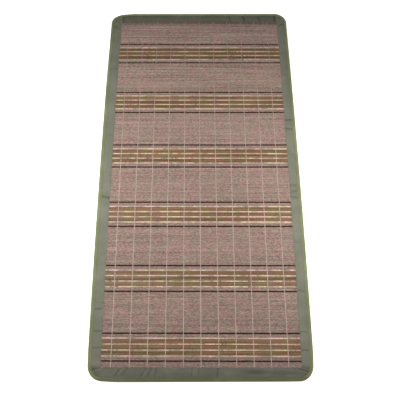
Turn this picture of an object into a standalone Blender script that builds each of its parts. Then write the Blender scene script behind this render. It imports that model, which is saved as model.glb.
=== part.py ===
# Bamboo sleeping mat lying flat: a panel of tied splints inside a cloth border with an edge tape.
# Metres, +Z up. X runs across the width, +Y towards the far end. The origin is on the floor at the
# middle of the mat.

import math
from collections import namedtuple

import bmesh
import bpy
from mathutils import Vector

# Plan of the whole mat
WIDTH = 0.900
LENGTH = 1.800
CORNER_RADIUS = 0.060
SIDE_BOW = 0.0058  # how far each long side bellies out at the middle of its length

# Cloth and the small clearance between pieces that touch
CLOTH = 0.0010
GAP = 0.0003

# Border strips: width of the part that shows on top, and of the part folded underneath
BORDER = {"left": 0.0525, "right": 0.0490, "far": 0.0515, "near": 0.0535}
UNDER_WIDTH = 0.030
PUFF_HEIGHT = 0.0008  # how far the cloth stands up between two creases

# Edge tape folded round the rim of the border strips
TAPE_TOP = 0.0130
TAPE_UNDER = 0.0110
RIM_HEIGHT = 0.0052
RIM_RADIUS = RIM_HEIGHT / 2
BEND_STEPS = 6

# Bamboo panel. Its edge is slipped between the two layers of the border strips.
PANEL_INSET = 0.0170
FIELD_HEIGHT = 0.0018
GROOVE_HEIGHT = 0.0014
SLAT_CHAMFER = 0.0007
CROWN_HEIGHT = 0.0022  # top of the highest slat
LIFT = CLOTH + GAP  # the panel's edge lies on the folded-under cloth
LIFT_FULL = 0.0330  # distance inside the outline where the panel is fully lifted
LIFT_NONE = 0.0460  # distance inside the outline where it is back on the floor

STEP_START = 0.0120  # where the border cloth leaves the tape and steps over the panel's edge
STEP_END = 0.0165
STRIP_MIDDLE = 0.0250

# One striped band, from its far edge to its near edge
Slat = namedtuple("Slat", "kind width height")
DARK = Slat("dark", 0.0050, 0.0017)
PINK = Slat("pink", 0.0142, FIELD_HEIGHT)
CREAM = Slat("cream", 0.0055, 0.0020)
BROWN = Slat("brown", 0.0182, CROWN_HEIGHT)
BAND_SLATS = (DARK, PINK, CREAM, BROWN, CREAM, BROWN, CREAM, BROWN, CREAM, PINK, DARK)

# The six bands: middle of the band along Y, and the distance between its two dark slats
Band = namedtuple("Band", "middle reach")
BANDS = (
    Band(0.6513, 0.1092),
    Band(0.3692, 0.1113),
    Band(0.0832, 0.1125),
    Band(-0.2022, 0.1130),
    Band(-0.4887, 0.1098),
    Band(-0.7681, 0.1077),
)

# Main creases across each border strip. Place is along Y on the sides and along X on the ends,
# reach is half the crease's width, and depth is the share of the puff that it takes away.
Crease = namedtuple("Crease", "place reach depth")
CREASES = {
    "left": (
        Crease(-0.771, 0.014, 1.0),
        Crease(-0.705, 0.014, 1.0),
        Crease(-0.617, 0.016, 0.9),
        Crease(-0.122, 0.030, 0.6),
        Crease(0.560, 0.035, 0.5),
    ),
    "right": (
        Crease(-0.779, 0.014, 0.9),
        Crease(-0.708, 0.014, 1.0),
        Crease(-0.541, 0.020, 0.7),
        Crease(-0.094, 0.030, 0.8),
        Crease(0.247, 0.026, 0.8),
    ),
    "far": (
        Crease(0.159, 0.016, 0.7),
        Crease(0.231, 0.016, 0.9),
        Crease(0.309, 0.016, 0.7),
    ),
    "near": (
        Crease(-0.315, 0.016, 0.9),
        Crease(-0.221, 0.014, 1.0),
        Crease(-0.186, 0.014, 0.8),
        Crease(-0.024, 0.020, 0.6),
        Crease(0.265, 0.090, 0.8),
    ),
}
LONGEST_RUN = 0.24  # straight stretches are divided so that they follow the bowed sides
CORNER_STEPS = 8

# A cross-section of the border: the point on the outline, the direction inwards, the point on the
# inner edge of the strip, and how much of the puff is there
Station = namedtuple("Station", "outer inward inner puff")

FINISHES = {
    "bamboo": {"color": (0.36, 0.26, 0.22, 1.0), "roughness": 0.45},
    "border_cloth": {"color": (0.20, 0.23, 0.17, 1.0), "roughness": 0.85},
    "edge_tape": {"color": (0.20, 0.23, 0.09, 1.0), "roughness": 0.80},
}


def clear_scene():
    for obj in list(bpy.data.objects):
        bpy.data.objects.remove(obj, do_unlink=True)


def new_collection(name):
    collection = bpy.data.collections.new(name)
    bpy.context.scene.collection.children.link(collection)
    return collection


def new_material(name):
    finish = FINISHES[name]
    material = bpy.data.materials.new(name)
    material.use_nodes = True
    shader = material.node_tree.nodes["Principled BSDF"]
    shader.inputs["Base Color"].default_value = finish["color"]
    shader.inputs["Roughness"].default_value = finish["roughness"]
    shader.inputs["Metallic"].default_value = 0.0
    material.diffuse_color = finish["color"]
    return material


def lie(x, y, z):
    """A point of the plan with straight sides, moved to where it lies in the bowed mat."""
    belly = 1 - (2 * y / LENGTH) ** 2
    return Vector((x * (1 + SIDE_BOW * belly / (WIDTH / 2)), y, z))


def half_width_at(y, inset=0.0):
    """Half the plan's width at y, for the outline or for a line that lies inset inside it."""
    radius = CORNER_RADIUS - inset
    past = abs(y) - (LENGTH / 2 - CORNER_RADIUS)
    if past <= 0:
        return WIDTH / 2 - inset
    return WIDTH / 2 - CORNER_RADIUS + math.sqrt(max(radius**2 - past**2, 0.0))


def half_length_at(x):
    past = abs(x) - (WIDTH / 2 - CORNER_RADIUS)
    if past <= 0:
        return LENGTH / 2
    return LENGTH / 2 - CORNER_RADIUS + math.sqrt(CORNER_RADIUS**2 - past**2)


def depth_inside(x, y):
    """Distance from a point of the plan to the outline."""
    along_x = WIDTH / 2 - abs(x)
    along_y = LENGTH / 2 - abs(y)
    if along_x < CORNER_RADIUS and along_y < CORNER_RADIUS:
        return CORNER_RADIUS - math.hypot(CORNER_RADIUS - along_x, CORNER_RADIUS - along_y)
    return min(along_x, along_y)


def lift_at(depth):
    """Height of the panel's underside over the floor."""
    share = (LIFT_NONE - depth) / (LIFT_NONE - LIFT_FULL)
    return LIFT * min(max(share, 0.0), 1.0)


def band_rows(band):
    """Profile of one striped band: (y, height) from its far edge to its near edge."""
    nominal = sum(slat.width for slat in BAND_SLATS)
    stretch = (band.reach + DARK.width) / nominal
    y = band.middle + nominal * stretch / 2
    rows = [(y, GROOVE_HEIGHT)]
    for slat in BAND_SLATS:
        near = y - slat.width * stretch
        rows.append((y - SLAT_CHAMFER, slat.height))
        rows.append((near + SLAT_CHAMFER, slat.height))
        rows.append((near, GROOVE_HEIGHT))
        y = near
    edge = SLAT_CHAMFER
    return [(rows[0][0] + edge, FIELD_HEIGHT)] + rows + [(y - edge, FIELD_HEIGHT)]


def panel_rows():
    """Profile of the whole panel along Y: (y, height) from the far end to the near end."""
    corner_y = LENGTH / 2 - CORNER_RADIUS
    radius = CORNER_RADIUS - PANEL_INSET
    turns = [math.pi / 2 * step / CORNER_STEPS for step in range(CORNER_STEPS + 1)]
    places = [corner_y + radius * math.sin(turn) for turn in turns]
    places += [LENGTH / 2 - LIFT_FULL, LENGTH / 2 - LIFT_NONE]
    places.sort(reverse=True)
    rows = [(y, FIELD_HEIGHT) for y in places]
    for band in BANDS:
        rows += band_rows(band)
    rows += [(-y, FIELD_HEIGHT) for y in reversed(places)]
    return sorted(rows, reverse=True)


def bamboo_panel():
    """A grid whose points take the slats' profile, thickened down to a plain underside."""
    rows = panel_rows()
    steps_in = (0.0, LIFT_FULL - PANEL_INSET, LIFT_NONE - PANEL_INSET)
    columns = len(steps_in) * 2
    mesh = bmesh.new()
    bmesh.ops.create_grid(mesh, x_segments=columns - 1, y_segments=len(rows) - 1, size=1.0)
    for vert in mesh.verts:
        column = round((vert.co.x + 1) / 2 * (columns - 1))
        row = round((1 - vert.co.y) / 2 * (len(rows) - 1))
        y, height = rows[row]
        edge = half_width_at(y, PANEL_INSET)
        if column < len(steps_in):
            x = -edge + steps_in[column]
        else:
            x = edge - steps_in[columns - 1 - column]
        vert.co = (x, y, height + lift_at(depth_inside(x, y)))
    top = list(mesh.verts)
    extruded = bmesh.ops.extrude_face_region(mesh, geom=mesh.faces[:])
    for vert in (item for item in extruded["geom"] if isinstance(item, bmesh.types.BMVert)):
        vert.co.z = lift_at(depth_inside(vert.co.x, vert.co.y))
    for vert in mesh.verts:
        vert.co = lie(*vert.co)
    bmesh.ops.recalc_face_normals(mesh, faces=mesh.faces[:])
    print("panel rows", len(rows), "top points", len(top))
    return mesh


def puff_at(side, place):
    """Share of the full puff that the creases leave at a place along a strip."""
    share = 1.0
    for crease in CREASES[side]:
        share -= crease.depth * math.exp(-(((place - crease.place) / crease.reach) ** 2) * 2)
    return max(share, 0.0)


def straight_places(side, start, end):
    """Places of the cross-sections on a straight stretch: the creases, and points between them."""
    places = {start, end}
    for crease in CREASES[side]:
        for place in (crease.place - crease.reach, crease.place, crease.place + crease.reach):
            if start < place < end:
                places.add(place)
    ordered = sorted(places)
    for low, high in zip(ordered, ordered[1:]):
        parts = math.ceil((high - low) / LONGEST_RUN)
        places.update(low + (high - low) * part / parts for part in range(1, parts))
    return sorted(places)


def corner_station(turn, heading, inner, puff, mirror_x, mirror_y):
    """A cross-section on a corner's arc. turn and heading are measured from the long side."""
    centre = Vector((-(WIDTH / 2 - CORNER_RADIUS), LENGTH / 2 - CORNER_RADIUS))
    outer = centre + CORNER_RADIUS * Vector((-math.cos(turn), math.sin(turn)))
    inward = Vector((math.cos(heading), -math.sin(heading)))
    flip = Vector((mirror_x, mirror_y))
    return Station(outer * flip, inward * flip, inner * flip, puff)


def side_stations(side):
    """Cross-sections of a long strip, from the near seam round the far corner to the far seam."""
    mirror_x = -1 if side == "right" else 1
    inner_x = WIDTH / 2 - BORDER[side]
    near_y = -(LENGTH / 2 - BORDER["near"]) + GAP / 2
    corner_y = LENGTH / 2 - CORNER_RADIUS
    stations = []
    for y in straight_places(side, near_y, corner_y):
        outer = Vector((-half_width_at(y) * mirror_x, y))
        inner = Vector((-inner_x * mirror_x, y if y < corner_y else y - CORNER_RADIUS / 2))
        stations.append(Station(outer, Vector((mirror_x, 0)), inner, puff_at(side, y)))
    seam_x = inner_x + GAP / 2
    last_turn = math.acos((seam_x - (WIDTH / 2 - CORNER_RADIUS)) / CORNER_RADIUS)
    first_inner = corner_y - CORNER_RADIUS / 2
    last_inner = LENGTH / 2 - BORDER["far"]
    for step in range(1, CORNER_STEPS + 1):
        share = step / CORNER_STEPS
        inner_y = first_inner + (last_inner - first_inner) * share
        inner = Vector((-seam_x, inner_y))
        puff = 0.35 + 0.3 * math.cos(2 * math.pi * share)
        heading = math.pi / 2 * share
        stations.append(corner_station(last_turn * share, heading, inner, puff, mirror_x, 1))
    return stations


def far_stations():
    """Cross-sections of the strip that lies between the two long ones at the far end."""
    start = -(WIDTH / 2 - BORDER["left"]) + GAP / 2
    end = WIDTH / 2 - BORDER["right"] - GAP / 2
    stations = []
    for x in straight_places("far", start, end):
        outer = Vector((x, half_length_at(x)))
        inner = Vector((x, LENGTH / 2 - BORDER["far"]))
        stations.append(Station(outer, Vector((0, -1)), inner, puff_at("far", x)))
    return stations


def near_stations():
    """Cross-sections of the near strip, from the left seam round both corners to the right seam."""
    inner_y = LENGTH / 2 - BORDER["near"] - GAP / 2
    corner_x = WIDTH / 2 - CORNER_RADIUS
    first_turn = math.asin((inner_y - (LENGTH / 2 - CORNER_RADIUS)) / CORNER_RADIUS)
    corners = {}
    for side, mirror_x in (("left", 1), ("right", -1)):
        seam_x = WIDTH / 2 - BORDER[side]
        last_inner = corner_x - CORNER_RADIUS / 2
        corners[side] = []
        for step in range(CORNER_STEPS):
            share = step / CORNER_STEPS
            inner = Vector((-(seam_x + (last_inner - seam_x) * share), inner_y))
            turn = first_turn + (math.pi / 2 - first_turn) * share
            puff = 0.35 + 0.3 * math.cos(2 * math.pi * share)
            heading = math.pi / 2 * share
            corners[side].append(corner_station(turn, heading, inner, puff, mirror_x, -1))
    middle = []
    for x in straight_places("near", -corner_x, corner_x):
        outer = Vector((x, -LENGTH / 2))
        pulled = math.copysign(corner_x - CORNER_RADIUS / 2, x) if abs(x) == corner_x else x
        inner = Vector((pulled, -inner_y))
        middle.append(Station(outer, Vector((0, 1)), inner, puff_at("near", x)))
    return corners["left"] + middle + corners["right"][::-1]


def bend(radius, steps, first, last):
    """Arc of the rim's bend: (depth, height) from one angle to another, in degrees."""
    points = []
    for step in range(steps + 1):
        angle = math.radians(first + (last - first) * step / steps)
        depth = RIM_RADIUS - radius * math.cos(angle)
        points.append((depth, RIM_RADIUS + radius * math.sin(angle)))
    return points


def border_section(width, puff):
    """Closed outline of a folded border strip: (depth inside the outline, height)."""
    outer_radius = RIM_RADIUS - CLOTH - GAP
    inner_radius = outer_radius - CLOTH
    tops = []
    for depth in (width, LIFT_NONE, LIFT_FULL, STRIP_MIDDLE, STEP_END):
        underside = CROWN_HEIGHT + GAP + lift_at(depth)
        share = (depth - STEP_END) / (width - STEP_END)
        raised = PUFF_HEIGHT * puff * math.sin(math.pi * share)
        tops.append((depth, underside + raised))
    tops.append((STEP_START, RIM_RADIUS + inner_radius))
    low = RIM_RADIUS - outer_radius
    unders = [(STEP_START, low), (STEP_END, 0.0), (UNDER_WIDTH, 0.0)]
    outer = [(depth, height + CLOTH) for depth, height in tops]
    outer += bend(outer_radius, BEND_STEPS, 90, -90)
    outer += unders
    inner = [(depth, height + CLOTH) for depth, height in reversed(unders)]
    inner += bend(inner_radius, BEND_STEPS // 2, -90, 90)
    inner += list(reversed(tops))
    return outer + inner


def section_ring(station, width):
    """The section's points in the lying mat. Past the folded-under part they head for the inner edge."""
    ring = []
    turned = station.outer + station.inward * UNDER_WIDTH
    for depth, height in border_section(width, station.puff):
        if depth <= UNDER_WIDTH:
            plan = station.outer + station.inward * depth
        else:
            share = (depth - UNDER_WIDTH) / (width - UNDER_WIDTH)
            plan = turned.lerp(station.inner, share)
        ring.append(lie(plan.x, plan.y, height))
    return ring


def loft(rings):
    """A closed body through unlike sections that all have the same number of points."""
    mesh = bmesh.new()
    loops = [[mesh.verts.new(point) for point in ring] for ring in rings]
    for low, high in zip(loops, loops[1:]):
        for index in range(len(low)):
            after = (index + 1) % len(low)
            mesh.faces.new((low[index], low[after], high[after], high[index]))
    mesh.faces.new(loops[0][::-1])
    mesh.faces.new(loops[-1])
    bmesh.ops.recalc_face_normals(mesh, faces=mesh.faces[:])
    return mesh


def border_strip(side):
    builders = {"far": far_stations, "near": near_stations}
    if side in builders:
        stations = builders[side]()
    else:
        stations = side_stations(side)
    return loft([section_ring(station, BORDER[side]) for station in stations])


def polyline(name, points):
    """A closed 2D curve through plan points."""
    curve = bpy.data.curves.new(name, "CURVE")
    curve.dimensions = "2D"
    spline = curve.splines.new("POLY")
    spline.points.add(len(points) - 1)
    for place, (x, y) in zip(spline.points, points):
        place.co = (x, y, 0.0, 1.0)
    spline.use_cyclic_u = True
    return bpy.data.objects.new(name, curve)


def tape_section():
    """Closed outline of the folded tape: (depth inside the outline, height)."""
    outer = [(TAPE_UNDER, 0.0)] + bend(RIM_RADIUS, BEND_STEPS, -90, 90) + [(TAPE_TOP, RIM_HEIGHT)]
    inner = [(TAPE_TOP, RIM_HEIGHT - CLOTH)] + bend(RIM_RADIUS - CLOTH, BEND_STEPS, 90, -90)
    inner.append((TAPE_UNDER, CLOTH))
    return outer + inner


def rim_path():
    """The mat's outline, anticlockwise from above, with the bowed sides."""
    path = []
    corner_x = WIDTH / 2 - CORNER_RADIUS
    corner_y = LENGTH / 2 - CORNER_RADIUS
    side_parts = math.ceil(2 * corner_y / LONGEST_RUN)
    for quarter in range(4):
        sign_x = 1 if quarter in (0, 3) else -1
        sign_y = 1 if quarter in (0, 1) else -1
        for step in range(CORNER_STEPS + 1):
            angle = math.pi / 2 * (quarter + step / CORNER_STEPS)
            x = sign_x * corner_x + CORNER_RADIUS * math.cos(angle)
            y = sign_y * corner_y + CORNER_RADIUS * math.sin(angle)
            path.append((x, y))
        if quarter in (1, 3):
            x = sign_x * WIDTH / 2
            for part in range(1, side_parts):
                path.append((x, sign_y * corner_y * (1 - 2 * part / side_parts)))
    return [tuple(lie(x, y, 0.0).xy) for x, y in path]


def edge_tape(guides):
    """The tape's section swept round the outline."""
    profile = polyline("tape_profile", tape_section())
    profile.hide_render = True
    profile.display_type = "WIRE"
    guides.objects.link(profile)
    tape = polyline("edge_tape", rim_path())
    tape.data.bevel_mode = "OBJECT"
    tape.data.bevel_object = profile
    return tape


def main():
    clear_scene()
    parts = new_collection("bamboo_mat")
    guides = new_collection("guides")
    bamboo = new_material("bamboo")
    cloth = new_material("border_cloth")
    tape_cloth = new_material("edge_tape")

    shapes = [("bamboo_panel", bamboo_panel(), bamboo)]
    shapes += [(f"binding_{side}", border_strip(side), cloth) for side in BORDER]
    for name, shape, material in shapes:
        data = bpy.data.meshes.new(name)
        shape.to_mesh(data)
        shape.free()
        data.materials.append(material)
        data.shade_smooth()
        data.set_sharp_from_angle(angle=math.radians(30))
        parts.objects.link(bpy.data.objects.new(name, data))

    tape = edge_tape(guides)
    tape.data.materials.append(tape_cloth)
    parts.objects.link(tape)


main()
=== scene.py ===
# %% [markdown]
# # A bamboo sleeping mat with a cloth border
#
# The mat is a panel of thin bamboo splints that lie across its width. Eleven rows of cotton thread
# tie them together, and six striped bands of wider slats break up the field. Cloth strips are folded
# over its four edges, and a narrow olive tape is folded round the rim of those strips.
#
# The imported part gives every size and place. Each solid is dressed with a finer mesh of the same
# form, so the first step loads the part and keeps the box that it fills.

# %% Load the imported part
import math

import bpy
import numpy as np
from mathutils import Matrix, Vector, noise


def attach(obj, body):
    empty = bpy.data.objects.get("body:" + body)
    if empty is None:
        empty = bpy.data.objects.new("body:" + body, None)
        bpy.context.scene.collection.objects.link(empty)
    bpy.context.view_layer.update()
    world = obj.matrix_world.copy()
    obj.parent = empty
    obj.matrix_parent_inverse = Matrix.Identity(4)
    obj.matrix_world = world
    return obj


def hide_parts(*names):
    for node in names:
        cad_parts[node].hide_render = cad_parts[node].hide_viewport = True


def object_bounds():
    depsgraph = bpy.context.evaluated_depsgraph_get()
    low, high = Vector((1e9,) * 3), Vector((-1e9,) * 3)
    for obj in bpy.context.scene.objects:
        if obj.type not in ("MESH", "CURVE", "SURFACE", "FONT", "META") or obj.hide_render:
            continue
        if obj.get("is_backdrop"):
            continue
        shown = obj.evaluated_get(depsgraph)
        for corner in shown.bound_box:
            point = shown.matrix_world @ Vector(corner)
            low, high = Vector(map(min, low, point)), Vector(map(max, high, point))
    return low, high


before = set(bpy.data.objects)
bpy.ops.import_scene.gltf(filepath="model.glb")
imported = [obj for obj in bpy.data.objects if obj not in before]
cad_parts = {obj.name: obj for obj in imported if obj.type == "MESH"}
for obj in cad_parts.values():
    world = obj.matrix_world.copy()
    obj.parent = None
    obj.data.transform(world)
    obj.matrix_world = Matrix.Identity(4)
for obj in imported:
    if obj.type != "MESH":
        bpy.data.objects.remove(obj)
cad_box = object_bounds()
print("nodes:", sorted(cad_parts))

# %% [markdown]
# The camera comes first, because it decides what has to look right. The photograph is taken from
# about two metres up, a little behind the near end, looking steeply down. Its height, tilt and turn
# were worked out from the outline, which narrows towards the far end, and from the bands and thread
# rows, which are evenly spaced on the real mat. A lens of 45 mm on a full-frame sensor gives the
# same narrowing.

# %% Camera
CAMERA_PLACE = Vector((-0.0333, -0.9330, 2.1064))
CAMERA_TILT = math.radians(69.22)  # down from the horizon
CAMERA_TURN = math.radians(2.39)  # from +Y towards +X
CAMERA_ROLL = math.radians(2.22)
SENSOR = 36.0
LENS = 45.34


def camera_axes(tilt, turn, roll):
    """Right, up and back directions of a camera that looks along +Y before it is turned."""
    forward = Vector((math.sin(turn) * math.cos(tilt), math.cos(turn) * math.cos(tilt), -math.sin(tilt)))
    level = Vector((math.cos(turn), -math.sin(turn), 0.0))
    upright = level.cross(forward)
    right = level * math.cos(roll) + upright * math.sin(roll)
    return right, right.cross(forward), -forward


camera_data = bpy.data.cameras.new("camera")
camera_data.sensor_width = SENSOR
camera_data.lens = LENS
camera_data.clip_start = 0.05
camera = bpy.data.objects.new("camera", camera_data)
bpy.context.scene.collection.objects.link(camera)
axes = Matrix(camera_axes(CAMERA_TILT, CAMERA_TURN, CAMERA_ROLL)).transposed()
camera.matrix_world = Matrix.Translation(CAMERA_PLACE) @ axes.to_4x4()
bpy.context.scene.camera = camera
print("camera at", tuple(round(value, 3) for value in CAMERA_PLACE), "lens", LENS)

# %% [markdown]
# ## Writing finishes as expressions
#
# A finish changes over its surface: one splint is paler than the next, a weave rises and falls.
# In Blender that takes a chain of small nodes. Wiring them one by one is hard to read, so a socket
# is wrapped in a class whose operators add the Math nodes. Then `1 - mask` or `tone * 0.2` is
# written as it would be on paper.

# %% A finish and the values that vary over it
class Varying:
    """A number that changes over a surface. Arithmetic on it adds Math nodes to its finish."""

    def __init__(self, finish, socket):
        self.finish = finish
        self.socket = socket

    def math(self, operation, first, second=0.0):
        return self.finish.node("ShaderNodeMath", {"operation": operation}, {0: first, 1: second})

    def __add__(self, other):
        return self.math("ADD", self, other)

    __radd__ = __add__

    def __sub__(self, other):
        return self.math("SUBTRACT", self, other)

    def __rsub__(self, other):
        return self.math("SUBTRACT", other, self)

    def __mul__(self, other):
        return self.math("MULTIPLY", self, other)

    __rmul__ = __mul__

    def wave(self):
        return self.math("SINE", self)

    def part(self):
        return self.math("FRACT", self)

    def size(self):
        return self.math("ABSOLUTE", self)

    def rise(self, low, high):
        """0 below low and 1 above high, with a soft step between them."""
        settings = {"interpolation_type": "SMOOTHSTEP"}
        values = {"Value": self, "From Min": low, "From Max": high}
        return self.finish.node("ShaderNodeMapRange", settings, values)


def opaque(red, green, blue):
    return (red, green, blue, 1.0)


class Finish:
    """A material with one Principled shader, whose nodes are added by method calls."""

    def __init__(self, name, roughness, specular=0.5):
        self.material = bpy.data.materials.new(name)
        self.material.use_nodes = True
        self.tree = self.material.node_tree
        self.shader = self.tree.nodes["Principled BSDF"]
        self.shader.inputs["Roughness"].default_value = roughness
        self.shader.inputs["Specular IOR Level"].default_value = specular

    def node(self, kind, settings=None, values=None, output=0):
        made = self.tree.nodes.new(kind)
        for setting, value in (settings or {}).items():
            setattr(made, setting, value)
        for socket, value in (values or {}).items():
            if isinstance(value, Varying):
                self.tree.links.new(value.socket, made.inputs[socket])
            else:
                made.inputs[socket].default_value = value
        return Varying(self, made.outputs[output])

    def place(self):
        """The surface point's place in the mat, in metres: three varying numbers."""
        point = self.node("ShaderNodeTexCoord", output="Object")
        split = self.node("ShaderNodeSeparateXYZ", values={0: point})
        return [Varying(self, socket) for socket in split.socket.node.outputs]

    def painted(self, name):
        """A number stored at the mesh's points under that name."""
        return self.node("ShaderNodeAttribute", {"attribute_name": name}, output="Fac")

    def blur(self, x, y, z, detail=2.0):
        """Soft noise around 0.5, one blob to each unit of x, y and z."""
        point = self.node("ShaderNodeCombineXYZ", values={0: x, 1: y, 2: z})
        return self.node("ShaderNodeTexNoise", values={"Vector": point, "Scale": 1.0, "Detail": detail})

    def mix(self, share, first, second):
        """A colour between two colours."""
        settings = {"data_type": "RGBA"}
        return self.node("ShaderNodeMix", settings, {0: share, 6: first, 7: second}, output=2)

    def brighten(self, colour, strength):
        """A colour times a varying number."""
        values = {"Vector": colour, "Scale": strength}
        return self.node("ShaderNodeVectorMath", {"operation": "SCALE"}, values)

    def paint(self, colour):
        self.tree.links.new(colour.socket, self.shader.inputs["Base Color"])

    def dull(self, roughness):
        self.tree.links.new(roughness.socket, self.shader.inputs["Roughness"])

    def emboss(self, height, depth):
        """Raises the surface by height, from 0 to 1, times depth in metres."""
        bump = self.node("ShaderNodeBump", values={"Height": height, "Distance": depth, "Strength": 1.0})
        self.tree.links.new(bump.socket, self.shader.inputs["Normal"])


print("finishes are made by", Finish.__name__, "from", Varying.__name__, "values")

# %% [markdown]
# ## Floor and light
#
# The mat lies on a plain white ground between two soft lights that stand low beside it, level with
# its middle. That is why both ends are darker than the middle, why the sides are a little brighter,
# and why the far right is darkest: the light on the right is the lower one, and its light falls off
# sooner. Lights at the sides also stay out of the mirror direction of the camera, so the bamboo
# keeps its deep browns. The ground curves up into a white wall all round, as a studio's cove does.
# It glows, because in the photograph it stays white even where the light falls off. Under the mat
# it must not glow, so a second, plain piece lies there.

# %% Floor and light
COVE_RADIUS = 11.0
COVE_BEND = 1.5
COVE_HEIGHT = 3.4
COVE_SEGMENTS = 72
COVE_RINGS = (1.5, 4.0, 8.0)  # rings on its flat part
COVE_GLOW = 0.90
WHITE = opaque(1.0, 1.0, 1.0)
FLOOR_DROP = 0.0006  # just under the mat, so that no two faces lie in one plane
SHADE_INSET = 0.024  # keeps the plain piece of ground inside the mat's round corners
SOFTBOX = 0.70
FILL_STRENGTH = 0.06
# Name: place, power in watts
LIGHTS = {
    "softbox_left": ((-0.85, -0.13, 1.04), 13.3),
    "softbox_right": ((0.85, -0.18, 0.80), 8.8),
}


def stage_piece(name, points, faces, glow):
    ground = Finish(name, roughness=0.9)
    ground.shader.inputs["Base Color"].default_value = opaque(0.86, 0.86, 0.86)
    ground.shader.inputs["Emission Color"].default_value = WHITE
    ground.shader.inputs["Emission Strength"].default_value = glow
    data = bpy.data.meshes.new(name)
    data.from_pydata(points, [], faces)
    data.materials.append(ground.material)
    data.shade_smooth()
    piece = bpy.data.objects.new(name, data)
    bpy.context.scene.collection.objects.link(piece)
    piece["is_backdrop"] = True


def cove():
    """Flat ground that bends up into a wall: rings of points, and the faces between them."""
    profile = [(radius, 0.0) for radius in COVE_RINGS]
    for degrees in range(0, 91, 10):
        bent = math.radians(degrees)
        profile.append((COVE_RADIUS + COVE_BEND * math.sin(bent), COVE_BEND * (1 - math.cos(bent))))
    profile.append((COVE_RADIUS + COVE_BEND, COVE_HEIGHT))
    points = []
    for radius, height in profile:
        for step in range(COVE_SEGMENTS):
            turn = 2 * math.pi * step / COVE_SEGMENTS
            points.append((radius * math.cos(turn), radius * math.sin(turn), height - FLOOR_DROP))
    faces = [tuple(range(COVE_SEGMENTS))]
    for ring in range(len(profile) - 1):
        for step in range(COVE_SEGMENTS):
            low = ring * COVE_SEGMENTS + step
            after = ring * COVE_SEGMENTS + (step + 1) % COVE_SEGMENTS
            faces.append((low, low + COVE_SEGMENTS, after + COVE_SEGMENTS, after))
    return points, faces


box_size = cad_box[1] - cad_box[0]
stage_piece("ground", *cove(), COVE_GLOW)
shade_x = box_size.x / 2 - SHADE_INSET
shade_y = box_size.y / 2 - SHADE_INSET
shade_corners = [(x, y, -FLOOR_DROP / 2) for x, y in ((-1, -1), (1, -1), (1, 1), (-1, 1))]
shade_corners = [(x * shade_x, y * shade_y, z) for x, y, z in shade_corners]
stage_piece("ground_under_mat", shade_corners, [(0, 1, 2, 3)], 0.0)

for name, (place, power) in LIGHTS.items():
    light_data = bpy.data.lights.new(name, "AREA")
    light_data.size = SOFTBOX
    light_data.energy = power
    light = bpy.data.objects.new(name, light_data)
    light.location = place
    light.visible_camera = False
    aim = Vector((0.0, place[1], 0.0)) - light.location
    light.rotation_euler = aim.to_track_quat("-Z", "Y").to_euler()
    bpy.context.scene.collection.objects.link(light)
    print(name, place, power, "W")

world = bpy.data.worlds.new("studio")
world.use_nodes = True
world.node_tree.nodes["Background"].inputs["Color"].default_value = WHITE
world.node_tree.nodes["Background"].inputs["Strength"].default_value = FILL_STRENGTH
bpy.context.scene.world = world
bpy.context.scene.view_settings.view_transform = "Standard"

# %% [markdown]
# ## How the mat lies
#
# The plan is a rectangle with rounded corners, 0.9 m by 1.8 m. A hand-made mat isn't quite square:
# both long sides belly out by a few millimetres, the bars fan out a little towards the right, and
# the gathered cloth draws some corners in. Everything is made on the square plan, and one function
# moves its points to where they lie, so all the pieces stay together. The panel's edge rests on the
# cloth that is folded under it, so near the border the panel is lifted by one layer of cloth.

# %% Plan of the mat
WIDTH = 0.900
LENGTH = box_size.y
CORNER_RADIUS = 0.060
SIDE_BOW = (box_size.x - WIDTH) / 2
CLOTH = 0.0010
GAP = 0.0003
LIFT = CLOTH + GAP
LIFT_FULL = 0.0330
LIFT_NONE = 0.0460
FAN = 0.008  # turn of the bars, in radians for each metre along the mat
FAN_AT_RIM = 0.35  # share of it that the near rim still has
FAN_FADE = (0.83, 0.89)  # towards the near rim
FAR_DRAW = 0.0026  # how far the far rim is drawn in
FAR_FADE = (0.84, 0.90)
FAR_LEFT_DRAW = 0.0020  # how far the left side is drawn in at its far end
LEFT_FADE = (0.45, 0.75)
CORNER_SPAN = 0.130
# Corner, as signs of x and y, and how far the cloth draws it in along X and along Y
CORNER_PULLS = ((-1, 1, 0.0010, 0.0092), (-1, -1, 0.0025, 0.0058), (1, -1, 0.0045, 0.0015))


def soft_step(values, low, high):
    """0 below low and 1 above high, with a soft step between them."""
    share = np.clip((values - low) / (high - low), 0.0, 1.0)
    return share * share * (3 - 2 * share)


def lie(points):
    """Moves points of the plan, an array that ends in x, y, z, to where they lie."""
    x, y = points[..., 0], points[..., 1]
    belly = 1 - (2 * y / LENGTH) ** 2
    moved = points.copy()
    moved[..., 0] += x * SIDE_BOW * belly / (WIDTH / 2)
    moved[..., 0] += FAR_LEFT_DRAW * soft_step(y, *LEFT_FADE) * soft_step(-x, 0.0, WIDTH / 2)
    fan = FAN * (1 - (1 - FAN_AT_RIM) * soft_step(-y, *FAN_FADE))
    moved[..., 1] += fan * x * y - FAR_DRAW * soft_step(y, *FAR_FADE)
    for sign_x, sign_y, pull_x, pull_y in CORNER_PULLS:
        beside = np.clip((sign_x * x - WIDTH / 2 + CORNER_SPAN) / CORNER_SPAN, 0.0, 1.0)
        beyond = np.clip((sign_y * y - LENGTH / 2 + CORNER_SPAN) / CORNER_SPAN, 0.0, 1.0)
        moved[..., 0] -= sign_x * pull_x * beside**4 * soft_step(beyond, 0.0, 1.0)
        moved[..., 1] -= sign_y * pull_y * beyond**4 * soft_step(beside, 0.0, 1.0)
    return moved


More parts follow.
